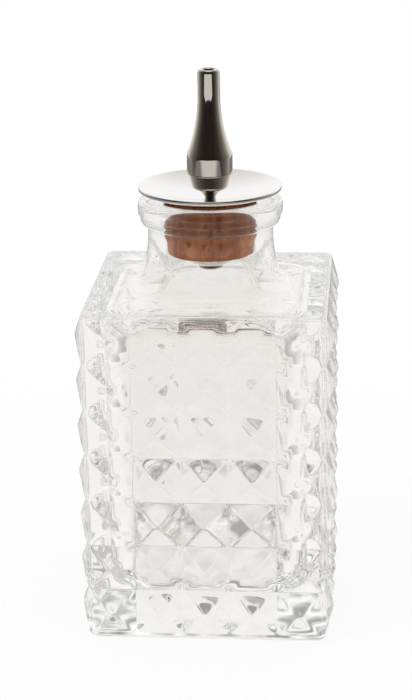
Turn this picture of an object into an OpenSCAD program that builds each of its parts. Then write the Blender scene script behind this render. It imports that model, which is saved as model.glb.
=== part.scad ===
// Square glass bitters bottle with studded faces, and its cork dasher stopper.
// Millimetres. +Z is up, the origin is at the centre of the base, and -Y is the front face.

/* [Studded body] */
// Columns of studs on each face
cols = 5; // [4:1:7]
// Rows of studs on each face
rows = 7; // [4:1:9]
// Width of one stud, from groove to groove
stud_w = 10; // [9:0.5:11]
// Height of one stud, from groove to groove
stud_h = 10.1; // [9:0.1:11]
// How far a stud with a sharp tip would stand out of its grooves
stud_rise = 2.3; // [1.4:0.1:2.8]
// How much of each sharp tip the mould rounds away
tip_blunt = 0.15; // [0.05:0.05:0.4]
// Plain band under the lowest row of studs
base_band = 1.6; // [1.2:0.1:3]
// Rounding round the foot of the body
base_round = 1.2; // [0.4:0.1:1.2]

/* [Shoulder] */
// How far the shoulder rises above the top groove
shoulder_rise = 0.45; // [0.2:0.05:0.8]
// How far the shoulder stands out past the grooves
cap_proud = 0.45; // [0.2:0.05:0.8]
// Height of the shoulder's plain side and its rounded edge together
cap_h = 2.15; // [1.8:0.05:3]
// Rounding of the shoulder's top edge
cap_round = 1.7; // [0.8:0.1:1.7]
// Rounding of the shoulder's four corners, seen from above
cap_corner = 1.5; // [0.5:0.1:1.5]

/* [Neck and lip] */
// Height of the neck and lip together, above the shoulder
neck_h = 19.3; // [16:0.1:24]
// Outer radius of the neck under the lip
neck_r = 13.35; // [13:0.05:14]
// Length of the neck's straight part, under the collar
neck_straight = 1.8; // [0.6:0.1:3]
// Radius of the long hollow curve that widens the neck downwards
neck_curve_r = 28; // [20:0.5:40]
// Radius of the tighter curve that runs out into the shoulder
neck_fillet = 3.2; // [2:0.1:4.5]
// Outer radius of the lip
lip_r = 15.45; // [15:0.05:17]
// Height of the lip ring
lip_h = 3.45; // [3:0.05:4.5]
// Rounding of the lip's top outer edge
lip_round = 1.75; // [0.8:0.05:2]
// Outer radius of the collar under the lip
collar_r = 14.95; // [14.5:0.05:15]
// Height of the collar under the lip
collar_h = 2.3; // [1.6:0.1:3]
// Rounding of the collar's lower edge
collar_round = 1.4; // [0.6:0.1:1.6]
// Radius of the mouth and of the bore under it
mouth_r = 9.8; // [9.6:0.05:10.2]
// Rounding of the mouth's inner edge
mouth_round = 3; // [1:0.1:3.2]

/* [Inside of the glass] */
// Glass between the cavity and the grooves of the faces
wall = 3.8; // [2.5:0.1:5]
// Solid glass under the cavity
floor_t = 10.8; // [6:0.1:14]
// Glass over the cavity, at the shoulder
ceiling_t = 4; // [2.5:0.05:6]
// Rounding of the cavity's upright corners
cavity_corner = 8; // [5:0.5:10]
// Rounding round the cavity's floor
cavity_floor_round = 4; // [2:0.5:5]
// Rounding round the cavity's ceiling
cavity_top_round = 2.5; // [1:0.5:4]
// Rounding where the cavity runs up into the bore
throat_round = 7.2; // [2:0.1:7.5]

/* [Cork] */
// How far the cork reaches down into the neck
cork_reach = 12; // [9:0.5:14]
// Radius of the cork's lower end
cork_tip_r = 9.2; // [8.8:0.05:9.4]
// Space between the cork and the bore, where the mouth starts to open
cork_gap = 0.05; // [0.02:0.01:0.2]
// Chamfer round the cork's lower edge
cork_chamfer = 0.5; // [0.2:0.1:1]

/* [Cap disc] */
// Outer radius of the dished disc
disc_r = 15.25; // [13:0.05:16]
// Thickness of the disc's sheet
disc_t = 0.8; // [0.5:0.05:1.2]
// How far the middle of the disc lies below its rim
disc_dish = 2.9; // [2:0.1:3.2]
// Height of the disc's rim above the lip
disc_lift = 2.55; // [2.3:0.05:4]

/* [Spout] */
// Height of the seam between cup and nozzle above the disc's rim
seam_lift = 2.4; // [1.8:0.1:4]
// Outer radius of the cup at the seam
cup_r = 4.45; // [4.3:0.05:4.6]
// Outer radius at the foot of the cup's slanted side
cup_foot_r = 3.9; // [3.6:0.05:4.1]
// Height of the cup's slanted side
cup_side_h = 2.3; // [1.8:0.1:2.8]
// Radius that rounds the underside of the cup
cup_round = 1.1; // [0.6:0.1:1.4]
// Sheet thickness of the cup
cup_wall = 0.4; // [0.3:0.05:0.6]
// Outer radius of the stem where it enters the disc
stem_r = 1.1; // [1:0.05:1.3]
// Radius of the bore that meters the dashes
meter_r = 0.6; // [0.4:0.05:0.7]
// Radius of the hollow curve between stem and cup
funnel_curve_r = 4.5; // [3.5:0.1:8]
// Outer radius of the nozzle's skirt
nozzle_r = 4.84; // [4.7:0.02:5.4]
// Height of the nozzle's straight skirt
skirt_h = 4.2; // [3:0.1:6]
// Height of the nozzle's hollow curved taper
taper_h = 12.8; // [10:0.1:16]
// Outer radius of the nozzle where the taper ends
tip_r = 2.33; // [2.1:0.01:2.6]
// Length of the straight tip above the taper
tip_h = 5.3; // [3:0.1:8]
// Sheet thickness of the nozzle
nozzle_wall = 0.5; // [0.4:0.05:0.5]
// Radius of the pouring hole
tip_hole_r = 1.25; // [0.8:0.05:1.4]
// Radius of the rolled edge round the pouring hole
tip_roll = 0.55; // [0.4:0.05:0.6]
// How far the cup's spigot reaches up inside the skirt
spigot_h = 1.6; // [1:0.1:2.5]

/* [Feed tube and foot washer] */
// Outer radius of the tube through the cork
tube_r = 1.9; // [1.7:0.05:2.4]
// Radius of the tube's bore
tube_bore_r = 0.9; // [0.7:0.05:1]
// How far the stem plugs into the tube
socket_depth = 4.5; // [3:0.1:6]
// Outer radius of the domed washer under the cork
washer_r = 6.8; // [5:0.1:7.5]
// Height of the domed washer
washer_h = 3.9; // [2:0.1:4.2]
// Sheet thickness of the washer
washer_t = 0.6; // [0.4:0.05:0.8]
// How far the tube's flared end spreads past the tube
flare_w = 0.7; // [0.4:0.05:1]
// Thickness of the tube's flared end
flare_t = 0.3; // [0.2:0.05:0.8]

/* [Fits] */
// Space between round metal pieces that plug together
plug_fit = 0.05; // [0.03:0.01:0.08]
// Space between curved faces that lie on each other
face_fit = 0.05; // [0.03:0.01:0.1]

/* [Hidden] */
$fn = 96;
// How far cuts run clear of a face
over = 1;
// A small overlap that makes shapes drawn one on the other a single one
bond = 0.01;
// Rounding of the lip ring's lower edge
lip_edge = 0.4;
// Width of the step on the cup that the nozzle's skirt sits on
seat_w = 0.2;
// How far over the disc's middle the stem starts to widen into the funnel
funnel_lift = 0.1;

half_w = cols * stud_w / 2;
apex_half = half_w + stud_rise;
studs_top = base_band + rows * stud_h;
shoulder_z = studs_top + shoulder_rise;
lip_z = shoulder_z + neck_h;
collar_top = lip_z - lip_h;
collar_foot = collar_top - collar_h;
cavity_half = half_w - wall;
ceiling_z = shoulder_z - ceiling_t;

// The long curve starts upright under the neck's straight part, and the tighter one touches it from inside
curve_centre = [neck_r + neck_curve_r, collar_foot - neck_straight];
curve_rest = neck_curve_r - neck_fillet;
fillet_drop = curve_centre[1] - shoulder_z - neck_fillet;
fillet_centre = [curve_centre[0] - sqrt(curve_rest * curve_rest - fillet_drop * fillet_drop), shoulder_z + neck_fillet];
curve_meet = curve_centre + (fillet_centre - curve_centre) * neck_curve_r / curve_rest;

cork_bore_r = mouth_r - cork_gap;
cork_foot_z = lip_z - cork_reach;

rim_z = lip_z + disc_lift;
// Radius of the disc's dished top face, from its rim radius and its depth
dish_r = (disc_r * disc_r + disc_dish * disc_dish) / (2 * disc_dish);
dish_centre_z = rim_z - disc_dish + dish_r;
disc_mid_z = rim_z - disc_dish;
disc_under_z = disc_mid_z - disc_t;

seam_z = rim_z + seam_lift;
cup_foot_z = seam_z - cup_side_h;
cup_floor_z = cup_foot_z - cup_round;
skirt_top = seam_z + skirt_h;
taper_top = skirt_top + taper_h;
tip_top = taper_top + tip_h;
skirt_in_r = cup_r - seat_w;
spigot_r = skirt_in_r - plug_fit;
// Radius of the nozzle's taper, an arc that leaves the tip upright and meets the skirt's edge
taper_spread = nozzle_r - tip_r;
taper_curve_r = (taper_spread * taper_spread + taper_h * taper_h) / (2 * taper_spread);

// Centre of the arc of radius r that runs from a to b and bulges to the left of that way
function arc_centre(a, b, r) =
    let (d = b - a, len = norm(d), back = sqrt(r * r - len * len / 4))
    (a + b) / 2 + back * [d[1], -d[0]] / len;

stem_end = [stem_r, disc_mid_z + funnel_lift];
funnel_end = [cup_foot_r - cup_round, cup_floor_z];
funnel_centre = arc_centre(stem_end, funnel_end, funnel_curve_r);
stem_foot_z = disc_under_z - socket_depth;

washer_foot_z = cork_foot_z - washer_h;
// Radius of the washer's outer dome, from its rim radius and its height
dome_r = (washer_r * washer_r + washer_h * washer_h) / (2 * washer_h);

// Plan outline: each side is a row of grooves and tips, and the corners stay at groove level
function stud_side(n, pitch) = [for (i = [0 : n - 1]) each [[i * pitch, 0], [(i + 0.5) * pitch, stud_rise]]];
function turned(p, k) =
    k == 0 ? p : turned([-p[1], p[0]], k - 1);
// The same outline on the left, in the order that closes it
function mirrored(p) = [for (i = [1 : len(p)]) [-p[len(p) - i][0], p[len(p) - i][1]]];

module plan_outline() {
    side = [for (p = stud_side(cols, stud_w)) [p[0] - half_w, -half_w - p[1]]];
    polygon([for (k = [0 : 3]) for (p = side) turned(p, k)]);
}

// Side outline: rows of tips on both edges over a plain band with a rounded foot
module side_outline(top) {
    right = [for (p = stud_side(rows, stud_h)) [half_w + p[1], base_band + p[0]]];
    last = stud_rise * 2 * (studs_top - top) / stud_h;
    edge = concat([[half_w, base_band - over]], right, [[half_w + last, top]]);
    intersection() {
        polygon(concat(edge, mirrored(edge)));
        translate([-apex_half, base_band - over / 2]) square([2 * apex_half, top]);
    }
    translate([-half_w, base_round]) square([2 * half_w, base_band - base_round + bond]);
    translate([base_round - half_w, 0]) square([2 * (half_w - base_round), base_band]);
    for (s = [-1, 1]) translate([s * (half_w - base_round), base_round]) circle(base_round);
}

// Square of half width h with its four corners rounded to r
module rounded_square(h, r) {
    translate([-h, r - h]) square([2 * h, 2 * (h - r)]);
    translate([r - h, -h]) square([2 * (h - r), 2 * h]);
    for (x = [-1, 1], y = [-1, 1]) translate([x * (h - r), y * (h - r)]) circle(r);
}

// Upright outline of half width h from z0 to z1, its lower corners rounded to r0 and its upper ones to r1
module upright_outline(h, z0, z1, r0, r1) {
    translate([-h, z0 + r0]) square([2 * h, z1 - r1 - z0 - r0]);
    translate([r0 - h, z0]) square([2 * (h - r0), r0 + bond]);
    translate([r1 - h, z1 - r1 - bond]) square([2 * (h - r1), r1 + bond]);
    for (s = [-1, 1]) {
        translate([s * (h - r0), z0 + r0]) circle(r0);
        translate([s * (h - r1), z1 - r1]) circle(r1);
    }
}

// Drawn in the XZ plane and pushed through the body along Y
module along_y(depth) {
    rotate([90, 0, 0]) translate([0, 0, -depth / 2]) linear_extrude(depth) children();
}

module both_ways(depth) {
    intersection() {
        along_y(depth) children();
        rotate(90) along_y(depth) children();
    }
}

// The studs are what three zigzag bars have in common, so each stud is a four-sided pyramid
module stud_field() {
    top = shoulder_z - cap_round / 2;
    span = 2 * (apex_half + over);
    blunt = 2 * (apex_half - tip_blunt);
    intersection() {
        linear_extrude(top) plan_outline();
        both_ways(span) side_outline(top);
        translate([-blunt / 2, -blunt / 2, 0]) cube([blunt, blunt, top]);
    }
}

module shoulder_cap() {
    half = half_w + cap_proud;
    intersection() {
        translate([0, 0, shoulder_z - cap_h]) linear_extrude(cap_h) rounded_square(half, cap_corner);
        both_ways(2 * half + over) upright_outline(half, 0, shoulder_z, cap_round, cap_round);
    }
}

module neck_outline() {
    difference() {
        polygon([
            [0, shoulder_z - cap_h], [fillet_centre[0], shoulder_z - cap_h], [fillet_centre[0], shoulder_z],
            curve_meet, [neck_r, curve_centre[1]], [neck_r, collar_top], [0, collar_top],
        ]);
        intersection() {
            translate(curve_centre) circle(neck_curve_r, $fn = 360);
            translate(curve_meet - [over, 0]) square(curve_centre - curve_meet + [over, 0]);
        }
        translate(fillet_centre) circle(neck_fillet);
    }
}

module collar_outline() {
    round_r = collar_r - collar_round;
    translate([0, collar_foot]) square([round_r, collar_h + bond]);
    translate([0, collar_foot + collar_round]) square([collar_r, collar_h - collar_round + bond]);
    translate([round_r, collar_foot + collar_round]) circle(collar_round);
}

module lip_outline() {
    translate([0, collar_top]) square([lip_r - lip_edge, lip_h - lip_round]);
    translate([0, collar_top + lip_edge]) square([lip_r, lip_h - lip_round - lip_edge]);
    translate([lip_r - lip_edge, collar_top + lip_edge]) circle(lip_edge);
    translate([0, collar_top]) square([lip_r - lip_round, lip_h]);
    translate([lip_r - lip_round, lip_z - lip_round]) circle(lip_round);
}

// Everything that is cut out round the axis: the bore, its rounded mouth and its rounded throat
module bore_outline() {
    translate([0, ceiling_z - over]) square([mouth_r, neck_h + ceiling_t + 2 * over]);
    difference() {
        translate([0, lip_z - mouth_round]) square([mouth_r + mouth_round, mouth_round + over]);
        translate([mouth_r + mouth_round, lip_z - mouth_round]) circle(mouth_round);
    }
    difference() {
        translate([0, ceiling_z - over]) square([mouth_r + throat_round, over + throat_round]);
        translate([mouth_r + throat_round, ceiling_z + throat_round]) circle(throat_round);
    }
}

module cavity() {
    intersection() {
        translate([0, 0, floor_t]) linear_extrude(ceiling_z - floor_t) rounded_square(cavity_half, cavity_corner);
        both_ways(2 * cavity_half + over)
            upright_outline(cavity_half, floor_t, ceiling_z, cavity_floor_round, cavity_top_round);
    }
}

module bottle() {
    color([0.9, 0.92, 0.92, 0.45]) difference() {
        union() {
            stud_field();
            shoulder_cap();
            rotate_extrude() {
                neck_outline();
                collar_outline();
                lip_outline();
            }
        }
        cavity();
        rotate_extrude() bore_outline();
    }
}

// The cork tapers downwards and its top follows the underside of the disc
module cork() {
    grow = (cork_bore_r - cork_tip_r) / (cork_reach - mouth_round);
    top_z = rim_z;
    color([0.72, 0.45, 0.27]) rotate_extrude() difference() {
        polygon([
            [tube_r + plug_fit, cork_foot_z],
            [cork_tip_r - cork_chamfer, cork_foot_z],
            [cork_tip_r + grow * cork_chamfer, cork_foot_z + cork_chamfer],
            [cork_tip_r + grow * (top_z - cork_foot_z), top_z],
            [tube_r + plug_fit, top_z],
        ]);
        translate([0, dish_centre_z]) circle(dish_r + disc_t + face_fit, $fn = 360);
    }
}

module cap_disc() {
    color([0.82, 0.82, 0.84]) rotate_extrude() intersection() {
        difference() {
            translate([0, dish_centre_z]) circle(dish_r + disc_t, $fn = 360);
            translate([0, dish_centre_z]) circle(dish_r, $fn = 360);
        }
        translate([stem_r + plug_fit, disc_under_z - over])
            square([disc_r - stem_r - plug_fit, disc_dish + disc_t + over]);
    }
}

module cup_outline() {
    stem_h = stem_end[1] - stem_foot_z;
    translate([0, stem_foot_z]) square([stem_r, stem_h + bond]);
    difference() {
        translate([0, stem_end[1]]) square([funnel_end[0], cup_foot_z - stem_end[1]]);
        translate(funnel_centre) circle(funnel_curve_r);
    }
    translate([0, cup_floor_z + bond]) square([cup_foot_r - cup_round, cup_round]);
    translate([cup_foot_r - cup_round, cup_foot_z]) circle(cup_round);
    polygon([[0, cup_foot_z], [cup_foot_r, cup_foot_z], [cup_r, seam_z], [0, seam_z]]);
    translate([0, seam_z - bond]) square([spigot_r, spigot_h + bond]);
}

module cup_hollow() {
    in_r = spigot_r - cup_wall;
    side_r = cup_foot_r - cup_wall;
    translate([0, stem_foot_z - over]) square([meter_r, seam_z - stem_foot_z]);
    polygon([
        [0, cup_floor_z + cup_wall],
        [meter_r, cup_floor_z + cup_wall],
        [side_r - cup_round, cup_foot_z - cup_round / 2],
        [side_r, cup_foot_z + cup_wall],
        [in_r, cup_foot_z + cup_side_h / 2],
        [in_r, seam_z + spigot_h + over],
        [0, seam_z + spigot_h + over],
    ]);
}

module spout_cup() {
    color([0.62, 0.6, 0.58]) rotate_extrude() difference() {
        cup_outline();
        cup_hollow();
    }
}

// Outline of the nozzle, drawn in by inset; the pouring hole is cut apart from it
module nozzle_outline(inset) {
    square_top = skirt_top - inset / 2;
    translate([0, seam_z]) square([nozzle_r - inset, square_top - seam_z]);
    difference() {
        translate([0, skirt_top - inset / 2 - bond])
            square([nozzle_r - inset, taper_h + inset / 2 + bond]);
        translate([tip_r + taper_curve_r, taper_top]) circle(taper_curve_r + inset, $fn = 720);
    }
    translate([0, taper_top - bond]) square([tip_r - inset, tip_h - tip_roll - inset + bond]);
}

module spout_nozzle() {
    roll_centre = [tip_r - tip_roll, tip_top - tip_roll];
    color([0.62, 0.6, 0.58]) rotate_extrude() difference() {
        union() {
            nozzle_outline(0);
            translate([0, tip_top - 2 * tip_roll]) square([roll_centre[0], 2 * tip_roll]);
            translate(roll_centre) circle(tip_roll);
        }
        nozzle_outline(nozzle_wall);
        translate([0, seam_z - over]) square([skirt_in_r, skirt_h - nozzle_wall + over]);
        translate([0, tip_top - 3 * tip_roll]) square([tip_hole_r, 4 * tip_roll]);
    }
}

module feed_tube() {
    top_z = disc_under_z - face_fit;
    flare_z = washer_foot_z - face_fit - flare_t;
    color([0.72, 0.7, 0.66]) rotate_extrude() difference() {
        union() {
            translate([0, flare_z]) square([tube_r, top_z - flare_z]);
            translate([0, flare_z]) square([tube_r + flare_w, flare_t]);
        }
        translate([0, flare_z - over]) square([tube_bore_r, top_z - flare_z + 2 * over]);
        translate([0, stem_foot_z]) square([stem_r + plug_fit, socket_depth + over]);
    }
}

module foot_washer() {
    centre_z = washer_foot_z + dome_r;
    color([0.8, 0.8, 0.82]) rotate_extrude() intersection() {
        difference() {
            translate([0, centre_z]) circle(dome_r, $fn = 180);
            translate([0, centre_z]) circle(dome_r - washer_t, $fn = 180);
        }
        translate([tube_r + plug_fit, washer_foot_z - over])
            square([washer_r, washer_h + over]);
    }
}

bottle();
cork();
cap_disc();
spout_cup();
spout_nozzle();
feed_tube();
foot_washer();
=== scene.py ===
import bpy
import numpy as np
from mathutils import Matrix, Vector


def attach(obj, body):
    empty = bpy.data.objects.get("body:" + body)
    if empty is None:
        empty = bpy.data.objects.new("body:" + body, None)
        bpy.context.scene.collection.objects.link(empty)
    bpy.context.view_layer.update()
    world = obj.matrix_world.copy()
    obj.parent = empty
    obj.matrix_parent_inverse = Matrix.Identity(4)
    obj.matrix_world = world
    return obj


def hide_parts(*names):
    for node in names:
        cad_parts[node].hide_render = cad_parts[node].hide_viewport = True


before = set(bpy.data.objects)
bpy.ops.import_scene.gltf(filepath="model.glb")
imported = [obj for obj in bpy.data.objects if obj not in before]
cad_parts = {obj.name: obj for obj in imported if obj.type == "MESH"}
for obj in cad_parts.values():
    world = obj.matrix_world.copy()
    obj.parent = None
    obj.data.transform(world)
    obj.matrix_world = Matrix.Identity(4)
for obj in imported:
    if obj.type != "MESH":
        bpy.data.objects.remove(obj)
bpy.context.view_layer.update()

mm = 0.001
tiny = 1e-9     # keeps a division by a corner's rounding away from zero
print("frame loaded")

# The camera's place comes from the stud grid, the lip and the disc: 18 degrees up and 5 to the right
camera = dict(
    azimuth=4.697,      # degrees, towards +X from straight in front
    elevation=18.294,
    roll=-0.822,
    distance=465.753,   # mm from the aim point
    aim=(-1.358, 0.0, 57.454),
    lens=109.886,       # on a sensor fitted to the picture's height
    sensor=36,
    nearest=10,         # mm, nothing closer is drawn
)


def placeCamera(c):
    azimuth, elevation, roll = np.radians([c["azimuth"], c["elevation"], c["roll"]])
    level = np.cos(elevation)
    back = Vector((np.sin(azimuth) * level, -np.cos(azimuth) * level, np.sin(elevation)))
    side = Vector((np.cos(azimuth), np.sin(azimuth), 0))
    up = back.cross(side)
    right = side * np.cos(roll) + up * np.sin(roll)
    top = up * np.cos(roll) - side * np.sin(roll)
    data = bpy.data.cameras.new("productCamera")
    data.lens = c["lens"]
    data.sensor_width = c["sensor"]
    data.clip_start = c["nearest"] * mm
    obj = bpy.data.objects.new("productCamera", data)
    bpy.context.collection.objects.link(obj)
    turn = Matrix((right, top, back)).transposed().to_4x4()
    obj.matrix_world = Matrix.Translation((Vector(c["aim"]) + back * c["distance"]) * mm) @ turn
    bpy.context.scene.camera = obj


placeCamera(camera)
print("camera placed")


# Helpers for materials

def toLinear(hexColour):
    # sRGB's own curve, from a hex colour to the shares of light that a shader takes
    c = np.array([int(hexColour[i:i + 2], 16) for i in (1, 3, 5)]) / 255
    linear = np.where(c <= 0.04045, c / 12.92, ((c + 0.055) / 1.055) ** 2.4)
    return (*linear.tolist(), 1.0)


def addNode(tree, kind, links=None, values=None, stops=(), **settings):
    # links says which output feeds an input, values sets an input, and settings are the node's own
    # properties. stops are the pairs of place and colour of a colour ramp, in order.
    node = tree.nodes.new(kind)
    for key, value in settings.items():
        setattr(node, key, value)
    for key, value in (values or {}).items():
        node.inputs[key].default_value = value
    for key, source in (links or {}).items():
        tree.links.new(source, node.inputs[key])
    if stops:
        ramp = node.color_ramp.elements
        ramp[0].position, ramp[0].color = stops[0]
        ramp[1].position, ramp[1].color = stops[-1]
        for place, colour in stops[1:-1]:
            ramp.new(place).color = colour
    return node


def emptyTree(owner):
    owner.use_nodes = True
    owner.node_tree.nodes.clear()
    return owner.node_tree


def newMaterial(name, values):
    mat = bpy.data.materials.new(name)
    tree = emptyTree(mat)
    shader = addNode(tree, "ShaderNodeBsdfPrincipled", values=values)
    addNode(tree, "ShaderNodeOutputMaterial", {"Surface": shader.outputs[0]})
    return mat, tree, shader


# Helpers for meshes, in mm

def addPiece(name, verts, faces, material, body, node):
    mesh = bpy.data.meshes.new(name)
    mesh.vertices.add(len(verts))
    mesh.vertices.foreach_set("co", np.asarray(verts, np.float32).ravel() * np.float32(mm))
    mesh.loops.add(faces.size)
    mesh.loops.foreach_set("vertex_index", faces.astype(np.int32).ravel())
    mesh.polygons.add(len(faces))
    mesh.polygons.foreach_set("loop_start", np.arange(len(faces), dtype=np.int32) * faces.shape[1])
    mesh.polygons.foreach_set("use_smooth", np.ones(len(faces), bool))
    mesh.update(calc_edges=True)
    mesh.validate()
    mesh.materials.append(material)
    obj = bpy.data.objects.new(name, mesh)
    bpy.context.collection.objects.link(obj)
    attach(obj, body)
    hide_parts(node)
    return obj


def gridFaces(rows, cols, flip=None):
    # Two triangles for each cell of a grid that is closed round its columns. flip picks the other diagonal.
    row, col = np.meshgrid(np.arange(rows - 1), np.arange(cols), indexing="ij")
    a = row * cols + col
    b = row * cols + (col + 1) % cols
    c, d = a + cols, b + cols
    plain = np.stack([np.stack([a, b, d], -1), np.stack([a, d, c], -1)], -2)
    flipped = np.stack([np.stack([a, b, c], -1), np.stack([b, d, c], -1)], -2)
    if flip is None:
        return plain.reshape(-1, 3)
    return np.where(flip[..., None, None], flipped, plain).reshape(-1, 3)


def closePoles(points, faces):
    # points is rows by cols by 3. The first and the last row are poles: each becomes the one point that its
    # row starts with, and the triangles that this leaves empty go.
    rows, cols = points.shape[:2]
    index = np.arange(rows * cols)
    index[:cols] = 0
    index[-cols:] = (rows - 1) * cols
    faces = index[faces]
    sound = (faces[:, 0] != faces[:, 1]) & (faces[:, 1] != faces[:, 2]) & (faces[:, 2] != faces[:, 0])
    used, faces = np.unique(faces[sound], return_inverse=True)
    return points.reshape(-1, 3)[used], faces.reshape(-1, 3)


def arc(centre, radius, start, end, count):
    # Points on a circle in the profile plane, angles in degrees from the outward direction
    t = np.radians(np.linspace(start, end, count))
    return np.stack([centre[0] + radius * np.cos(t), centre[1] + radius * np.sin(t)], -1)


def heldLine(a, b, hold):
    # Two points, the share hold of a straight run inside its ends, with which smooth shading leaves it flat
    a, b = np.array(a, float), np.array(b, float)
    return a + (b - a) * np.array([[hold], [1 - hold]])


def revolve(name, profile, material, node, facets, shape=None):
    # The profile, a closed run of radius and height, is carried once round the axis in so many facets.
    # shape(points, angle) may move the points of the finished grid.
    profile = np.concatenate(profile)
    angle = np.linspace(0, 2 * np.pi, facets, endpoint=False)
    r, z = profile[:, :1], profile[:, 1:]
    points = np.stack([r * np.sin(angle), -r * np.cos(angle), z + 0 * angle], -1)
    if shape is not None:
        points = shape(points, angle)
    rows = len(profile)
    faces = gridFaces(rows + 1, facets) % (rows * facets)
    addPiece(name, points.reshape(-1, 3), faces, material, "stopper", node)


# Materials. A pattern's scale is worked out from how many of its cells go into 10 mm.

# Soda-lime glass, pressed and fire polished: clear, faintly grey, with slow waves from a hand-finished mould
glassLook = dict(colour="#F8F7F5", roughness=0.01, ior=1.52, waves=1.1, waveHeight=0.4, waveTilt=0.25)


def pressedGlass(look):
    mat, tree, shader = newMaterial("pressedSodaGlass", {
        "Base Color": toLinear(look["colour"]), "Transmission Weight": 1.0, "Roughness": look["roughness"],
        "IOR": look["ior"]})
    coord = addNode(tree, "ShaderNodeTexCoord")
    waves = addNode(tree, "ShaderNodeTexNoise", {"Vector": coord.outputs["Object"]},
                    {"Scale": look["waves"] / (10 * mm), "Detail": 1.0, "Roughness": 0.4})
    bump = addNode(tree, "ShaderNodeBump", {"Height": waves.outputs["Fac"]},
                   {"Strength": look["waveTilt"], "Distance": look["waveHeight"] * mm})
    tree.links.new(bump.outputs[0], shader.inputs["Normal"])
    return mat


# Plated metal: a mirror with fine polishing marks, bright chrome on the disc and darker, warmer nickel
# elsewhere. Real marks are too fine to show, so these are 1.7 mm apart.
plateLook = dict(chrome="#F4F3F1", nickel="#DAD2C8", marks=6.0, smoothest=0.03, roughest=0.09)


def platedMetal(name, colour, look):
    mat, tree, shader = newMaterial(name, {"Base Color": toLinear(colour), "Metallic": 1.0})
    coord = addNode(tree, "ShaderNodeTexCoord")
    marks = addNode(tree, "ShaderNodeTexNoise", {"Vector": coord.outputs["Object"]},
                    {"Scale": look["marks"] / (10 * mm), "Detail": 3.0})
    rough = addNode(tree, "ShaderNodeMapRange", {"Value": marks.outputs["Fac"]},
                    {"To Min": look["smoothest"], "To Max": look["roughest"]})
    tree.links.new(rough.outputs[0], shader.inputs["Roughness"])
    return mat


# Plain stainless tube, drawn and not polished
steelLook = dict(colour="#B9B4AC", roughness=0.32)


def drawnSteel(look):
    return newMaterial("drawnStainlessTube", {
        "Base Color": toLinear(look["colour"]), "Metallic": 1.0, "Roughness": look["roughness"]})[0]


# Natural cork: warm brown grain with dark pores, both drawn out up and down, and slow growth bands
corkLook = dict(
    dark="#7E4622", middle="#B96838", pale="#D8945C",   # the grain's colours
    darkAt=0.34, middleAt=0.48, paleAt=0.62,            # and where they stand between 0 and 1
    grain=7.0, bands=1.6, pores=4.2,                    # cells in 10 mm, across the cork
    grainDraw=0.15, bandDraw=0.45,                      # and the share of that up and down
    pore="#1E110A", poreInner=0.16, poreOuter=0.28,     # full within the one and gone past the other
    poreBand=(0.5, 0.56), poreFaint=0.15,               # pores keep to a band's upper tones, faint below
    paintedShade="#4A2812", paintedShadeShare=0.55,             # painted shade on the upper end, under the disc and behind the thick collar
    paintedShadeFrom=85.2, paintedShadeTo=86.6,                 # mm over the base
    bumpHeight=0.3, bumpTilt=0.6, roughness=0.85, shine=0.1,
)


def naturalCork(look):
    mat, tree, shader = newMaterial("naturalCork", {
        "Roughness": look["roughness"], "Specular IOR Level": look["shine"]})
    coord = addNode(tree, "ShaderNodeTexCoord")
    bandDraw = addNode(tree, "ShaderNodeMapping", {"Vector": coord.outputs["Object"]},
                       {"Scale": (1.0, 1.0, look["bandDraw"])})
    grainDraw = addNode(tree, "ShaderNodeMapping", {"Vector": coord.outputs["Object"]},
                        {"Scale": (1.0, 1.0, look["grainDraw"])})
    grain = addNode(tree, "ShaderNodeTexNoise", {"Vector": grainDraw.outputs[0]},
                    {"Scale": look["grain"] / (10 * mm), "Detail": 5.0, "Roughness": 0.65})
    bands = addNode(tree, "ShaderNodeTexNoise", {"Vector": bandDraw.outputs[0]},
                    {"Scale": look["bands"] / (10 * mm), "Detail": 3.0})
    pores = addNode(tree, "ShaderNodeTexVoronoi", {"Vector": bandDraw.outputs[0]},
                    {"Scale": look["pores"] / (10 * mm), "Randomness": 1.0})
    both = addNode(tree, "ShaderNodeMix", {"A": grain.outputs["Fac"], "B": bands.outputs["Fac"]},
                   {"Factor": 0.5})
    tone = addNode(tree, "ShaderNodeValToRGB", {"Fac": both.outputs[0]}, stops=[
        (look["darkAt"], toLinear(look["dark"])), (look["middleAt"], toLinear(look["middle"])),
        (look["paleAt"], toLinear(look["pale"]))])
    pit = addNode(tree, "ShaderNodeMapRange", {"Value": pores.outputs["Distance"]},
                  {"From Min": look["poreInner"], "From Max": look["poreOuter"],
                   "To Min": 1.0, "To Max": 0.0})
    gate = addNode(tree, "ShaderNodeMapRange", {"Value": bands.outputs["Fac"]},
                   {"From Min": look["poreBand"][0], "From Max": look["poreBand"][1],
                    "To Min": look["poreFaint"], "To Max": 1.0})
    pick = addNode(tree, "ShaderNodeMath", {0: pit.outputs[0], 1: gate.outputs[0]}, operation="MULTIPLY")
    pitted = addNode(tree, "ShaderNodeMix", {"A": tone.outputs[0], "Factor": pick.outputs[0]},
                     {"B": toLinear(look["pore"])}, data_type="RGBA")
    height = addNode(tree, "ShaderNodeSeparateXYZ", {0: coord.outputs["Object"]})
    # Painted shade: the colour turns darker towards the cork's upper end, as if shaded by the disc and the
    # thick collar
    upper = addNode(tree, "ShaderNodeMapRange", {"Value": height.outputs["Z"]},
                    {"From Min": look["paintedShadeFrom"] * mm, "From Max": look["paintedShadeTo"] * mm,
                     "To Min": 0.0, "To Max": look["paintedShadeShare"]})
    colour = addNode(tree, "ShaderNodeMix", {"A": pitted.outputs[2], "Factor": upper.outputs[0]},
                     {"B": toLinear(look["paintedShade"])}, data_type="RGBA")
    bump = addNode(tree, "ShaderNodeBump", {"Height": both.outputs[0]},
                   {"Strength": look["bumpTilt"], "Distance": look["bumpHeight"] * mm})
    tree.links.new(colour.outputs[2], shader.inputs["Base Color"])
    tree.links.new(bump.outputs[0], shader.inputs["Normal"])
    return mat


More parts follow.
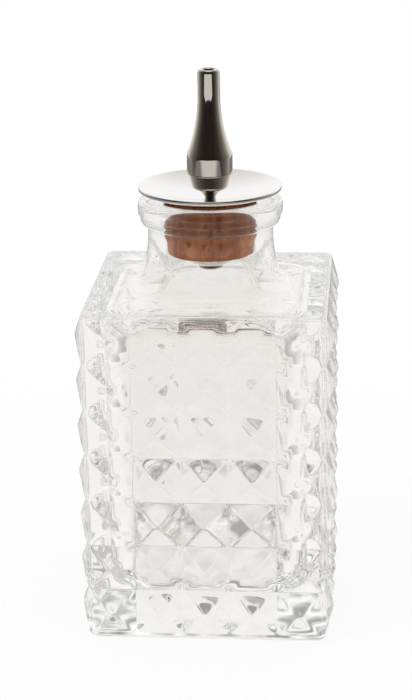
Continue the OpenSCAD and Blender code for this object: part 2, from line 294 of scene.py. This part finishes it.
glassMaterial = pressedGlass(glassLook)
chromeMaterial = platedMetal("polishedChromePlate", plateLook["chrome"], plateLook)
nickelMaterial = platedMetal("polishedNickelPlate", plateLook["nickel"], plateLook)
steelMaterial = drawnSteel(steelLook)
corkMaterial = naturalCork(corkLook)
print("materials made")


# The glass bottle: one closed surface, row by row from the middle of the base up over the lip and down inside

bottle = dict(
    columns=5, rows=7,
    studW=10.0, studH=10.1,
    cuts=(0, 0.22, 0.7, 1.25, 1.8, 2.4, 3.0, 3.6, 4.15, 4.65, 5.0),   # mm from a groove to a stud's middle
    face=25.45, corner=1.5,                  # half width at the grooves, and the upright corners' rounding
    rise=1.88,                               # how far a stud's tip would stand out if it were sharp
    ridge=0.1, tip=0.05,                     # how soft its ridges and its tip are, as shares of half a stud
    band=1.6, bandGap=0.12,                  # plain band under the studs, and their first row over it
    foot=1.6, footCorner=1.4,                # rounding of the base, all round and at the upright corners
    punt=0.35, puntHalf=17.0,                # slight hollow under the base, and half its width
    puntRings=(0, 0.02, 0.3, 0.6, 0.85, 1.0), puntCorner=0.01,   # its rows, almost square at the corners
    underIn=(1.5, 0.15), underCorner=1.0,    # flat rows under the base, in from its rounding
    evenUnder=2.0,                           # rows less than this longer than the inner studs get even points
    top=72.75, capRound=0.8, capCorner=1.9,  # shoulder, the rounding of its edge, and its upright corners
    capGap=0.05,                             # stud rows end this far under that rounding
    edgeIn=(0.3, 1.5), edgeCorner=(1.0, 2.0),   # flat rows on the shoulder, in from its rounding
    neckR=13.35, neckStraight=84.5,          # neck, and the height from which it is straight
    neckCurve=28.0, neckFoot=3.2,            # radii of its long hollow curve and of the arc at its foot
    footOut=0.4,                             # a row on the shoulder, out from that arc
    collarFoot=86.3, collarTop=88.6, collarR=14.95, collarRound=1.4,
    lipTop=92.05, lipR=15.45, lipRound=1.75, lipEdge=0.4,
    mouthR=9.8, mouthRound=3.0, throat=7.2,  # bore, and its roundings at the lip and into the cavity
    wall=3.8, floor=10.8, ceiling=68.75,     # cavity, wall mm inside the square of the stud grid
    cavityCorner=8.0, cavityFoot=4.0, cavityTop=2.5,   # its roundings: upright corners, floor and ceiling
    wallEnd=1.0, floorRings=(0.97, 0.6, 0.02, 0.0),    # rows in from the wall's ends, and on the floor's flat
)


def studPlaces(b, count):
    # Places along so many studs, each one long: denser at the grooves, with the last groove left out
    cuts = np.array(b["cuts"]) / b["cuts"][-1]
    one = np.concatenate([cuts[:-1] / 2, 1 - cuts[::-1][:-1] / 2])
    return (np.arange(count)[:, None] + one).ravel()


def fromMiddle(b, place):
    # How far a place is from its stud's middle: 1 at a groove, falling evenly to 0, but for the rounded tip
    return np.sqrt((2 * (place % 1) - 1) ** 2 + b["tip"] ** 2)


def neckProfile(b):
    # Radius and height from the shoulder over the lip and down the bore, in arcs and straight runs.
    # The foot's small arc touches both the shoulder and the neck's long hollow curve.
    big, small = b["neckCurve"], b["neckFoot"]
    drop = b["neckStraight"] - b["top"] - small
    centre = (b["neckR"] + big, b["neckStraight"])
    footR = centre[0] - np.sqrt((big - small) ** 2 - drop ** 2)
    meet = np.degrees(np.arcsin(drop / (big - small)))
    collarRim = b["collarR"] - b["collarRound"]
    collarZ = b["collarFoot"] + b["collarRound"]
    lipRim = b["lipR"] - b["lipRound"]
    mouthRim = b["mouthR"] + b["mouthRound"]
    mouthZ = b["lipTop"] - b["mouthRound"]
    throatZ = b["ceiling"] + b["throat"]
    return np.concatenate([
        [[footR + b["footOut"], b["top"]]],
        arc((footR, b["top"] + small), small, 270, 180 + meet, count=8),
        arc(centre, big, 180 + meet, 180, count=10)[1:],
        heldLine((b["neckR"], b["neckStraight"]), (b["neckR"], b["collarFoot"]), hold=0.15),
        arc((collarRim, collarZ), b["collarRound"], -90, 0, count=7),
        heldLine((b["collarR"], collarZ), (b["collarR"], b["collarTop"]), hold=0.1),
        arc((b["lipR"] - b["lipEdge"], b["collarTop"] + b["lipEdge"]), b["lipEdge"], -90, 0, count=5),
        arc((lipRim, b["lipTop"] - b["lipRound"]), b["lipRound"], 0, 90, count=10),
        heldLine((lipRim, b["lipTop"]), (mouthRim, b["lipTop"]), hold=0.1),
        arc((mouthRim, mouthZ), b["mouthRound"], 90, 180, count=7),
        heldLine((b["mouthR"], mouthZ), (b["mouthR"], throatZ), hold=0.02),
        arc((b["mouthR"] + b["throat"], throatZ), b["throat"], 180, 270, count=7),
    ])


def bottleSurface(b):
    half = b["columns"] * b["studW"] / 2
    pitched = half - b["studW"]
    across = studPlaces(b, b["columns"]) * b["studW"] - half
    side = np.abs(across) / half
    sign = np.where(across < 0, -1.0, 1.0)

    def fourSides(x, y, z):
        quarters = [(x, y), (-y, x), (-x, -y), (y, -x)]
        return np.concatenate([np.stack([p, q, z], -1) for p, q in quarters], 1)

    def perPoint(value, rows):
        # One number for all rows, or one for each, becomes one for each point. A full grid stays as it is.
        value = np.asarray(value, float)
        if value.ndim < 2:
            value = value.reshape(-1, 1)
        return np.broadcast_to(value, (rows, len(side)))

    def ring(z, h, corner, out=0.0):
        # Rows of a square of half width h, its corners rounded, pushed outwards by out. A point goes t along
        # the flat, or phi round the corner. The inner studs keep their pitch, and the outer ones run on to
        # the middle of the corner.
        z, h, corner, out = [perPoint(v, len(z)) for v in (z, h, corner, out)]
        flat = h - corner
        length = flat + corner * np.pi / 4
        s = side * half
        t = np.where(s < pitched, s, pitched + (s - pitched) / (half - pitched) * (length - pitched))
        t = np.where(length > pitched + b["evenUnder"], t, side * length)
        phi = np.where(t > flat, (t - flat) / np.maximum(corner, tiny), 0)
        x = np.where(t > flat, flat + corner * np.sin(phi), t) * sign + out * np.sin(phi) * sign
        y = -(h - corner + corner * np.cos(phi)) - out * np.cos(phi)
        return fourSides(x, y, z)

    def circles(profile):
        # Rows of a round shape from their radius and height, with as many points as a ring
        phi = side * sign * np.pi / 4
        r, z = profile[:, :1], profile[:, 1:]
        return fourSides(r * np.sin(phi), -r * np.cos(phi), z + 0 * phi)

    def rounding(start, end, count):
        return np.radians(np.linspace(start, end, count))

    # Underside, with its slight hollow, and the rounded foot
    inner = np.array(b["puntRings"])
    under = ring(b["punt"] * (1 - inner ** 4), b["puntHalf"] * inner, b["puntCorner"])
    flatRows = ring([0, 0], [b["face"] - b["foot"] - x for x in b["underIn"]], b["underCorner"])
    t = rounding(0, 90, 7)
    foot = ring(b["foot"] * (1 - np.cos(t)), b["face"] - b["foot"] * (1 - np.sin(t)), b["footCorner"])

    # Studs: a pyramid falls with the larger of the distances from its middle, across and up, and ridge rounds
    # the change from one to the other. The shoulder's rounding takes the top studs over into its flat.
    capFoot = b["top"] - b["capRound"]
    z = b["band"] + studPlaces(b, b["rows"]) * b["studH"]
    z = z[z < capFoot - b["capGap"]]
    z[0] += b["bandGap"]
    z = np.append(z, capFoot)
    u = fromMiddle(b, across / b["studW"] + b["columns"] / 2)[None, :]
    v = fromMiddle(b, (z - b["band"]) / b["studH"])[:, None]
    larger = (u + v + np.sqrt((u - v) ** 2 + b["ridge"] ** 2)) / 2
    out = b["rise"] * np.maximum(1 - larger, 0)
    studs = ring(z, b["face"], b["corner"], out)
    t = rounding(0, 90, 7)[1:]
    capOut = out[-1] * np.cos(t)[:, None] - b["capRound"] * (1 - np.cos(t))[:, None]
    capCorner = b["corner"] + (b["capCorner"] - b["corner"]) * np.sin(t)
    cap = ring(b["top"] - b["capRound"] * (1 - np.sin(t)), b["face"], capCorner, capOut)

    # Flat of the shoulder, then the round neck
    edge = b["face"] - b["capRound"]
    shoulder = ring([b["top"]] * 2, [edge - x for x in b["edgeIn"]], b["edgeCorner"])
    neck = circles(neckProfile(b))

    # Cavity: a rounded box with a generous radius on every edge
    cavity = half - b["wall"]
    lowZ = b["floor"] + b["cavityFoot"]
    highZ = b["ceiling"] - b["cavityTop"]
    t = rounding(90, 0, 8)
    roof = ring(b["ceiling"] - b["cavityTop"] * (1 - np.sin(t)), cavity - b["cavityTop"] * (1 - np.cos(t)),
                b["cavityCorner"])
    walls = ring([highZ - b["wallEnd"], (lowZ + highZ) / 2, lowZ + b["wallEnd"]], cavity, b["cavityCorner"])
    t = rounding(0, 90, 8)
    bowl = ring(lowZ - b["cavityFoot"] * np.sin(t), cavity - b["cavityFoot"] * (1 - np.cos(t)),
                b["cavityCorner"])
    inner = np.array(b["floorRings"])
    floor = ring(b["floor"] + 0 * inner, (cavity - b["cavityFoot"]) * inner, b["cavityCorner"] * inner)
    parts = [under, flatRows, foot, studs, cap, shoulder, neck, roof, walls, bowl, floor]
    points = np.concatenate(parts, 0)

    # Cells on a stud are split along its ridges
    rows, cols = points.shape[:2]
    flip = np.zeros((rows - 1, cols), bool)
    middleZ = points[:-1, 0, 2] / 2 + points[1:, 0, 2] / 2
    upper = ((middleZ - b["band"]) / b["studH"]) % 1 > 0.5
    middleX = (across + np.append(across[1:], half)) / 2
    right = np.tile(((middleX + half) / b["studW"]) % 1 > 0.5, 4)
    first = sum(len(p) for p in parts[:3])
    last = first + len(studs) + len(cap)
    flip[first:last] = (upper[:, None] != right[None, :])[first:last]
    return points, flip


def makeBottle(b):
    points, flip = bottleSurface(b)
    faces = gridFaces(*points.shape[:2], flip)
    verts, faces = closePoles(points, faces)
    return addPiece("glassBottle", verts, faces, glassMaterial, "bottle", "bottle")


glassBottle = makeBottle(bottle)
print("bottle:", len(glassBottle.data.polygons), "triangles")


# The stopper's pieces, each a closed profile carried round the axis. Heights are mm over the base.

disc = dict(
    r=15.25, t=0.8, dish=2.9, rimZ=94.6, hole=1.15, rings=40, facets=192,
    edge=0.3,                               # the rim's rounding starts this far in
    lowEdge=((0.06, 0.18), (0.0, 0.42)),    # its rows: in from the rim, up from where the underside ends
    highEdge=((0.0, 0.22), (0.07, 0.09)),   # in from the rim, down from its top
)


def discProfile(d):
    # Two spheres with one centre, t apart, from the hole to the rim's rounding
    ball = (d["r"] ** 2 + d["dish"] ** 2) / (2 * d["dish"])
    centreZ = d["rimZ"] - d["dish"] + ball
    r = np.linspace(d["hole"], d["r"] - d["edge"], d["rings"])
    under = np.stack([r, centreZ - np.sqrt((ball + d["t"]) ** 2 - r ** 2)], -1)
    over = np.stack([r, centreZ - np.sqrt(ball ** 2 - r ** 2)], -1)[::-1]
    low = [[d["r"] - x, under[-1, 1] + up] for x, up in d["lowEdge"]]
    high = [[d["r"] - x, d["rimZ"] - down] for x, down in d["highEdge"]]
    return [under, low, high, over]


revolve("capDisc", discProfile(disc), chromeMaterial, "cap_disc", disc["facets"])

spout = dict(
    seamZ=97.0, skirtR=4.84, skirtH=4.2, taperH=12.8, tipR=2.33, tipH=5.3,
    wall=0.5, roll=0.55, holeR=1.25, skirtIn=4.25, rings=26, facets=128,
    lowEdge=((0.12, 0.0), (0.03, 0.05), (0.0, 0.2), (0.0, 0.35)),   # in from the skirt, up from the seam
    highEdge=((0.0, 0.65), (0.0, 0.5), (0.015, 0.0)),               # in from the skirt, down from its top
    taperFrom=0.35,                         # the taper's first row stands this far over the skirt
    tipFrom=0.3, tipTo=(0.35, 0.2),         # rows of the straight tip, over the taper and under the roll
    rollEnd=2.4,                            # the inside starts this many roll radii under the top
    skirtEnd=0.6,                           # the skirt's inside ends this far under its top
)


def nozzleProfile(s):
    # Outside: the skirt, a hollow taper that is one arc and touches the straight tip, and a rolled rim.
    # Inside: the same taper, one wall smaller.
    skirtTop = s["seamZ"] + s["skirtH"]
    taperTop = skirtTop + s["taperH"]
    top = taperTop + s["tipH"]
    rollZ = top - s["roll"]
    spread = s["skirtR"] - s["tipR"]
    big = (spread ** 2 + s["taperH"] ** 2) / (2 * spread)
    z = np.linspace(skirtTop + s["taperFrom"], taperTop, s["rings"])
    taper = np.stack([s["tipR"] + big - np.sqrt(big ** 2 - (taperTop - z) ** 2), z], -1)
    return [
        [[s["skirtIn"], s["seamZ"]]],
        [[s["skirtR"] - x, s["seamZ"] + up] for x, up in s["lowEdge"]],
        [[s["skirtR"] - x, skirtTop - down] for x, down in s["highEdge"]],
        taper,
        [[s["tipR"], taperTop + s["tipFrom"]]],
        [[s["tipR"], rollZ - down] for down in s["tipTo"]],
        arc((s["tipR"] - s["roll"], rollZ), s["roll"], 0, 180, count=13),
        [[s["holeR"], top - 2 * s["roll"]], [s["tipR"] - s["wall"], top - s["rollEnd"] * s["roll"]]],
        taper[::-1] - [s["wall"], 0],
        [[s["skirtIn"], skirtTop - s["skirtEnd"]]],
    ]


revolve("spoutNozzle", nozzleProfile(spout), nickelMaterial, "spout_nozzle",
        spout["facets"])

cup = dict(
    seamZ=97.0, seamR=4.45, spigotR=4.2, spigotH=1.6, footR=3.9, footZ=94.7, round=1.1, stemR=1.1,
    stemTop=91.8, stemFoot=86.4, bore=0.6, curve=4.5, wall=0.4, facets=96,
    stemHold=1.0,                           # a row this far under the curve leaves the stem straight
    roundFrom=-80, roundTo=-8,              # degrees of the foot's rounding
    seamEdge=((0.06, 0.25), (0.04, 0.0)),   # in from the seam's radius, down from the seam
    innerStep=1.15,                         # the inside narrows this far over the foot
)


def cupProfile(c):
    # Outside: the stem, a hollow arc through the stem's top and the foot, the foot's rounding, the wall up to
    # the seam, and the spigot. Inside: straight runs about a wall's thickness away, down to the bore.
    start = np.array([c["stemR"], c["stemTop"]])
    end = np.array([c["footR"] - c["round"], c["footZ"] - c["round"]])
    chord = end - start
    size = np.hypot(*chord)
    back = np.sqrt(c["curve"] ** 2 - size ** 2 / 4)
    centre = (start + end) / 2 + back * np.array([chord[1], -chord[0]]) / size
    first = np.degrees(np.arctan2(*(start - centre)[::-1])) % 360
    last = np.degrees(np.arctan2(*(end - centre)[::-1])) % 360
    inside = c["spigotR"] - c["wall"]
    return [
        [[c["bore"], c["stemFoot"]], [c["stemR"], c["stemFoot"]], [c["stemR"], c["stemTop"] - c["stemHold"]]],
        arc(centre, c["curve"], first, last, count=10),
        arc((c["footR"] - c["round"], c["footZ"]), c["round"], c["roundFrom"], c["roundTo"], count=7),
        [[c["seamR"] - x, c["seamZ"] - down] for x, down in c["seamEdge"]],
        [[c["spigotR"], c["seamZ"]], [c["spigotR"], c["seamZ"] + c["spigotH"]],
         [inside, c["seamZ"] + c["spigotH"]], [inside, c["footZ"] + c["innerStep"]],
         [c["footR"] - c["wall"], c["footZ"] + c["wall"]],
         [c["footR"] - c["wall"] - c["round"], c["footZ"] - c["round"] / 2],
         [c["bore"], c["footZ"] - c["round"] + c["wall"]]],
    ]


revolve("spoutCup", cupProfile(cup), nickelMaterial, "spout_cup", cup["facets"])

tube = dict(
    r=1.9, bore=0.9, topZ=90.85, footZ=75.8, facets=64,
    socketR=1.15, socketZ=86.4,             # wider hole at the top, for the cup's stem
    flareR=2.6, flareT=0.3,                 # small flare at the foot, under the washer
    lowEdge=0.15, highEdge=0.1,             # its bevels
)


def tubeProfile(t):
    # Straight runs only: foot and flare, outside, top, socket and bore
    flareTop = t["footZ"] + t["flareT"]
    return [
        [[t["bore"], t["footZ"]], [t["flareR"] - t["lowEdge"], t["footZ"]],
         [t["flareR"], t["footZ"] + t["lowEdge"]], [t["flareR"], flareTop - t["highEdge"]],
         [t["flareR"] - t["highEdge"], flareTop], [t["r"], flareTop], [t["r"], t["topZ"]],
         [t["socketR"], t["topZ"]], [t["socketR"], t["socketZ"]], [t["bore"], t["socketZ"]]],
    ]


revolve("feedTube", tubeProfile(tube), steelMaterial, "feed_tube", tube["facets"])

washer = dict(
    r=6.8, h=3.9, t=0.6, topZ=80.05, hole=1.95, rings=20, facets=96,
    rim=1.15,                               # width of the rim's flat, in thicknesses
)


def washerProfile(w):
    # A bowl with its rim under the cork: two spheres with one centre, t apart, from the hole to the flat rim
    ball = (w["r"] ** 2 + w["h"] ** 2) / (2 * w["h"])
    thin = ball - w["t"]
    centreZ = w["topZ"] - w["h"] + ball
    r = np.linspace(w["hole"], w["r"], w["rings"])
    outer = np.stack([r, centreZ - np.sqrt(ball ** 2 - r ** 2)], -1)
    r = np.linspace(w["hole"], w["r"] - w["t"] * w["rim"], w["rings"])
    inner = np.stack([r, centreZ - np.sqrt(thin ** 2 - r ** 2)], -1)[::-1]
    return [outer, inner]


revolve("footWasher", washerProfile(washer), nickelMaterial, "foot_washer",
        washer["facets"])

cork = dict(
    topR=9.93, tipR=9.2, lipZ=92.05, footZ=80.05, chamfer=0.5, hole=1.95,
    gap=0.05, edge=0.3,                     # air under the disc, and how far in the top's rows start
    sideRings=60, endRings=12, facets=256,
    seed=7, pits=46,
    pitFrom=0.8,                            # lowest pit's middle, over the foot. The highest is at the lip.
    pitWide=(0.12, 0.4),                    # half width
    pitTall=(1.2, 3.2),                     # half height, in half widths
    pitDepth=2.2,                           # deepest place, in half widths
    sideR=8.8, sideFrom=0.3,                # pits keep outside this radius and this far over the foot
)


def corkProfile(c, d):
    # A cone from the flat foot to the top, which keeps to a sphere gap below the disc's underside
    ball = (d["r"] ** 2 + d["dish"] ** 2) / (2 * d["dish"]) + d["t"] + c["gap"]
    centreZ = d["rimZ"] + ball - d["t"] - c["gap"] - d["dish"]
    topZ = centreZ - np.sqrt(ball ** 2 - c["topR"] ** 2)
    slope = (c["topR"] - c["tipR"]) / (topZ - c["footZ"])
    z = np.linspace(c["footZ"] + c["chamfer"], topZ, c["sideRings"])
    sideLine = np.stack([c["tipR"] + slope * (z - c["footZ"]), z], -1)
    r = np.linspace(c["topR"] - c["edge"], c["hole"], c["endRings"])
    over = np.stack([r, centreZ - np.sqrt(ball ** 2 - r ** 2)], -1)
    r = np.linspace(c["hole"], c["tipR"] - c["chamfer"], c["endRings"])
    under = np.stack([r, np.full(len(r), c["footZ"])], -1)
    return [under, sideLine, over]


def corkPits(points, angle):
    # Lens-shaped pores, taller than wide, are pushed in along the radius. reach grows with the square of the
    # way from 0 at a pit's middle to 1 at its edge, and the depth is the root of what is left to 1.
    rng = np.random.default_rng(cork["seed"])
    r = np.hypot(points[..., 0], points[..., 1])
    z = points[..., 2]
    at = rng.uniform(0, 2 * np.pi, cork["pits"])
    high = rng.uniform(cork["footZ"] + cork["pitFrom"], cork["lipZ"], cork["pits"])
    wide = rng.uniform(*cork["pitWide"], cork["pits"])
    tall = wide * rng.uniform(*cork["pitTall"], cork["pits"])
    away = (angle[None, :, None] - at + np.pi) % (2 * np.pi) - np.pi
    reach = (away * r[..., None] / wide) ** 2 + ((z[..., None] - high) / tall) ** 2
    depth = (np.clip(1 - reach, 0, 1) ** 0.5 * wide * cork["pitDepth"]).max(-1)
    onSide = (r > cork["sideR"]) & (z > cork["footZ"] + cork["sideFrom"])
    keep = np.where(onSide, 1 - depth / r, 1)
    return np.concatenate([points[..., :2] * keep[..., None], points[..., 2:]], -1)


revolve("corkBody", corkProfile(cork, disc), corkMaterial, "cork", cork["facets"], corkPits)
print("stopper made")


# Stage: a white table, a white surround for the camera, and a studio that is dark only on the camera's side.
# Places are m from the middle of the bottle's base. A level of 1 is white.

table = dict(
    left=0.4, right=0.36, front=0.72, back=0.7,
    # Light patches under the foot: cells in 10 mm, the noise values between which shade turns to light, those
    # two levels, how far from the axis the patches end, and their strength at shares of that way
    patches=1.7, patchNoise=(0.38, 0.62), patchLevels=(0.36, 1.08),
    patchReach=0.06, patchStrength=((0.25, 0.25), (0.38, 1), (0.7, 1), (1.0, 0)),
    # Seen through glass, the table in front of the bottle: levels, and where on Y they begin
    frontLevel=0.84, frontFade=(-0.12, -0.03), farLevel=0.3, farFade=(-0.22, -0.16),
    # Seen by mirrors: the card and the table behind it, and the share of the patches that the foot mirrors
    cardLevels=(0.76, 0.76 / 3), cardFade=(-0.36, -0.3), nearLevel=0.9, nearFade=(0.06, 0.12),
    # Seen by the camera: the shadow's share and where it fades, from the axis
    paper="#F4F4F4", shadowShare=0.12, shadowFade=(0.03, 0.16),
)


def tableLaminate(t):
    mat = bpy.data.materials.new("whiteTableLaminate")
    tree = emptyTree(mat)
    coord = addNode(tree, "ShaderNodeTexCoord")
    place = addNode(tree, "ShaderNodeSeparateXYZ", {0: coord.outputs["Object"]})
    away = addNode(tree, "ShaderNodeVectorMath", {0: coord.outputs["Object"]}, operation="LENGTH")
    path = addNode(tree, "ShaderNodeLightPath")
    seen = addNode(tree, "ShaderNodeMath",
                   {0: path.outputs["Is Camera Ray"], 1: path.outputs["Is Glossy Ray"]}, operation="MAXIMUM")
    seen = addNode(tree, "ShaderNodeMath", {0: seen.outputs[0], 1: path.outputs["Is Transmission Ray"]},
                   operation="MAXIMUM")
    # Through glass the table is white, but for the patches of gathered light and shade under the foot, and
    # darker in front of the bottle and again further on
    noise = addNode(tree, "ShaderNodeTexNoise", {"Vector": coord.outputs["Object"]},
                    {"Scale": t["patches"] / (10 * mm), "Detail": 2.0})
    patch = addNode(tree, "ShaderNodeMapRange", {"Value": noise.outputs["Fac"]},
                    {"From Min": t["patchNoise"][0], "From Max": t["patchNoise"][1],
                     "To Min": t["patchLevels"][0], "To Max": t["patchLevels"][1]})
    reach = addNode(tree, "ShaderNodeMapRange", {"Value": away.outputs["Value"]},
                    {"From Max": t["patchReach"]})
    strong = addNode(tree, "ShaderNodeValToRGB", {"Fac": reach.outputs[0]},
                     stops=[(at, (share, share, share, 1)) for at, share in t["patchStrength"]])
    under = addNode(tree, "ShaderNodeMix", {"Factor": strong.outputs[0], "B": patch.outputs[0]}, {"A": 1.0})
    front = addNode(tree, "ShaderNodeMapRange", {"Value": place.outputs["Y"]},
                    {"From Min": t["frontFade"][0], "From Max": t["frontFade"][1], "To Min": t["frontLevel"]})
    far = addNode(tree, "ShaderNodeMapRange", {"Value": place.outputs["Y"]},
                  {"From Min": t["farFade"][0], "From Max": t["farFade"][1], "To Min": t["farLevel"]})
    ahead = addNode(tree, "ShaderNodeMath", {0: front.outputs[0], 1: far.outputs[0]}, operation="MULTIPLY")
    through = addNode(tree, "ShaderNodeMath", {0: under.outputs[0], 1: ahead.outputs[0]},
                      operation="MULTIPLY")
    # Mirrors see a pale card at the table's front end and a darker table behind it, and the glass of the foot
    # mirrors the patches that lie close to it
    card = addNode(tree, "ShaderNodeMapRange", {"Value": place.outputs["Y"]},
                   {"From Min": t["cardFade"][0], "From Max": t["cardFade"][1],
                    "To Min": t["cardLevels"][0], "To Max": t["cardLevels"][1]})
    close = addNode(tree, "ShaderNodeMapRange", {"Value": away.outputs["Value"]},
                    {"From Min": t["nearFade"][0], "From Max": t["nearFade"][1],
                     "To Min": 1.0, "To Max": 0.0})
    near = addNode(tree, "ShaderNodeMath", {0: patch.outputs[0]}, {1: t["nearLevel"]}, operation="MULTIPLY")
    mirrored = addNode(tree, "ShaderNodeMix",
                       {"Factor": close.outputs[0], "A": card.outputs[0], "B": near.outputs[0]})
    shade = addNode(tree, "ShaderNodeMix", {"Factor": path.outputs["Is Transmission Ray"],
                                            "A": mirrored.outputs[0], "B": through.outputs[0]})
    shade = addNode(tree, "ShaderNodeMix", {"Factor": path.outputs["Is Camera Ray"], "A": shade.outputs[0]},
                    {"B": 1.0})
    # The camera sees this glow with a share of plain paper, which takes the bottle's faint shadow. Rays from
    # a matt surface see the paper alone.
    paper = addNode(tree, "ShaderNodeBsdfDiffuse", values={"Color": toLinear(t["paper"])})
    glow = addNode(tree, "ShaderNodeEmission", {"Strength": shade.outputs[0]}, {"Color": (1, 1, 1, 1)})
    fade = addNode(tree, "ShaderNodeMapRange", {"Value": away.outputs["Value"]},
                   {"From Min": t["shadowFade"][0], "From Max": t["shadowFade"][1],
                    "To Min": 1 - t["shadowShare"], "To Max": 1.0})
    bare = addNode(tree, "ShaderNodeMix", {"Factor": path.outputs["Is Camera Ray"], "B": fade.outputs[0]},
                   {"A": 1.0})
    share = addNode(tree, "ShaderNodeMath", {0: bare.outputs[0], 1: seen.outputs[0]}, operation="MULTIPLY")
    mixed = addNode(tree, "ShaderNodeMixShader",
                    {0: share.outputs[0], 1: paper.outputs[0], 2: glow.outputs[0]})
    addNode(tree, "ShaderNodeOutputMaterial", {"Surface": mixed.outputs[0]})
    return mat


def makeTable(t):
    mesh = bpy.data.meshes.new("whiteTable")
    left, right, front, back = -t["left"], t["right"], -t["front"], t["back"]
    corners = [(left, front, 0), (right, front, 0), (right, back, 0), (left, back, 0)]
    mesh.from_pydata(corners, [], [(0, 1, 2, 3)])
    mesh.materials.append(tableLaminate(t))
    obj = bpy.data.objects.new("whiteTable", mesh)
    bpy.context.collection.objects.link(obj)


surround = dict(
    # What mirrors see, from straight in front of the bottle, 0, past its side, 0.5, to straight behind it, 1:
    # room is place on that way and level, warmth is its light in red, green and blue
    frontColour=(0.022, 0.018, 0.015, 1), frontAt=0.1, whiteAt=0.95,
    room=((0.27, 0.045), (0.5, 0.16), (0.67, 0.36), (0.8, 0.72)), warmth=(1, 0.95, 0.9),
    ceiling=0.95, ceilingFade=(0.9, 0.97),      # level overhead, and between which upward slopes it begins
    # What is seen through clear glass, in front of it and behind it, and between which slopes to the back
    clearFront="#C4C2BE", clearBack=(0.97, 0.965, 0.955, 1), clearFade=(-0.2, 0.6),
    behindGlass=2.4,                            # how much stronger a matt surface is lit through glass
)


def makeSurround(s):
    # Directions: a white sweep behind and above, and a dim room in front, which mirrors see darker than glass
    world = bpy.data.worlds.new("studio")
    bpy.context.scene.world = world
    tree = emptyTree(world)
    white = (1, 1, 1, 1)
    coord = addNode(tree, "ShaderNodeTexCoord")
    split = addNode(tree, "ShaderNodeSeparateXYZ", {0: coord.outputs["Generated"]})
    turn = addNode(tree, "ShaderNodeMapRange", {"Value": split.outputs["Y"]},
                   {"From Min": -1.0, "From Max": 1.0})
    wide = addNode(tree, "ShaderNodeMapRange", {"Value": split.outputs["Y"]},
                   {"From Min": s["clearFade"][0], "From Max": s["clearFade"][1]})
    room = [(place, (*[level * w for w in s["warmth"]], 1)) for place, level in s["room"]]
    mirrored = addNode(tree, "ShaderNodeValToRGB", {"Fac": turn.outputs[0]},
                       stops=[(s["frontAt"], s["frontColour"]), *room, (s["whiteAt"], white)])
    through = addNode(tree, "ShaderNodeMix", {"Factor": wide.outputs[0]},
                      {"A": toLinear(s["clearFront"]), "B": s["clearBack"]}, data_type="RGBA")
    above = addNode(tree, "ShaderNodeMapRange", {"Value": split.outputs["Z"]},
                    {"From Min": s["ceilingFade"][0], "From Max": s["ceilingFade"][1]})
    mirrored = addNode(tree, "ShaderNodeMix", {"Factor": above.outputs[0], "A": mirrored.outputs[0]},
                       {"B": (s["ceiling"], s["ceiling"], s["ceiling"], 1)}, data_type="RGBA")
    path = addNode(tree, "ShaderNodeLightPath")
    # A ray that leaves clear glass counts as glossy too, so only the others are mirror reflections
    mirror = addNode(tree, "ShaderNodeMath",
                     {0: path.outputs["Is Glossy Ray"], 1: path.outputs["Is Transmission Ray"]},
                     operation="SUBTRACT", use_clamp=True)
    shown = addNode(tree, "ShaderNodeMix", {"Factor": mirror.outputs[0], "A": through.outputs[2],
                                            "B": mirrored.outputs[2]}, data_type="RGBA")
    final = addNode(tree, "ShaderNodeMix", {"Factor": path.outputs["Is Camera Ray"], "A": shown.outputs[2]},
                    {"B": white}, data_type="RGBA")
    # Glass would throw gathered light on the cork behind it, so a matt surface gets more light through glass
    lift = addNode(tree, "ShaderNodeMath",
                   {0: path.outputs["Diffuse Depth"], 1: path.outputs["Transmission Depth"]},
                   operation="MULTIPLY", use_clamp=True)
    level = addNode(tree, "ShaderNodeMapRange", {"Value": lift.outputs[0]},
                    {"To Min": 1.0, "To Max": s["behindGlass"]})
    light = addNode(tree, "ShaderNodeBackground", {"Color": final.outputs[2], "Strength": level.outputs[0]})
    addNode(tree, "ShaderNodeOutputWorld", {"Surface": light.outputs[0]})


lamps = dict(
    keyLeft=dict(place=(-0.75, -0.6, 0.75), aim=(0, 0, 0.06), size=(0.5, 0.5), power=5.0),
    fillRight=dict(place=(0.7, -0.5, 0.5), aim=(0, 0, 0.06), size=(0.25, 0.6), power=1.5),
)


def softbox(name, place, aim, size, power):
    data = bpy.data.lights.new(name, "AREA")
    data.shape = "RECTANGLE"
    data.size, data.size_y = size
    data.energy = power
    obj = bpy.data.objects.new(name, data)
    bpy.context.collection.objects.link(obj)
    obj.location = place
    obj.rotation_euler = (Vector(aim) - Vector(place)).to_track_quat("-Z", "Y").to_euler()
    obj.visible_glossy = False
    obj.visible_transmission = False


makeTable(table)
makeSurround(surround)
for name, lamp in lamps.items():
    softbox(name, **lamp)

bounces = 40    # inside the glass, light turns back many times before it leaves
view = bpy.context.scene.view_settings
view.view_transform = "Standard"
cycles = bpy.context.scene.cycles
cycles.max_bounces = bounces
cycles.transmission_bounces = bounces
cycles.glossy_bounces = bounces
cycles.caustics_reflective = False
print("stage made")
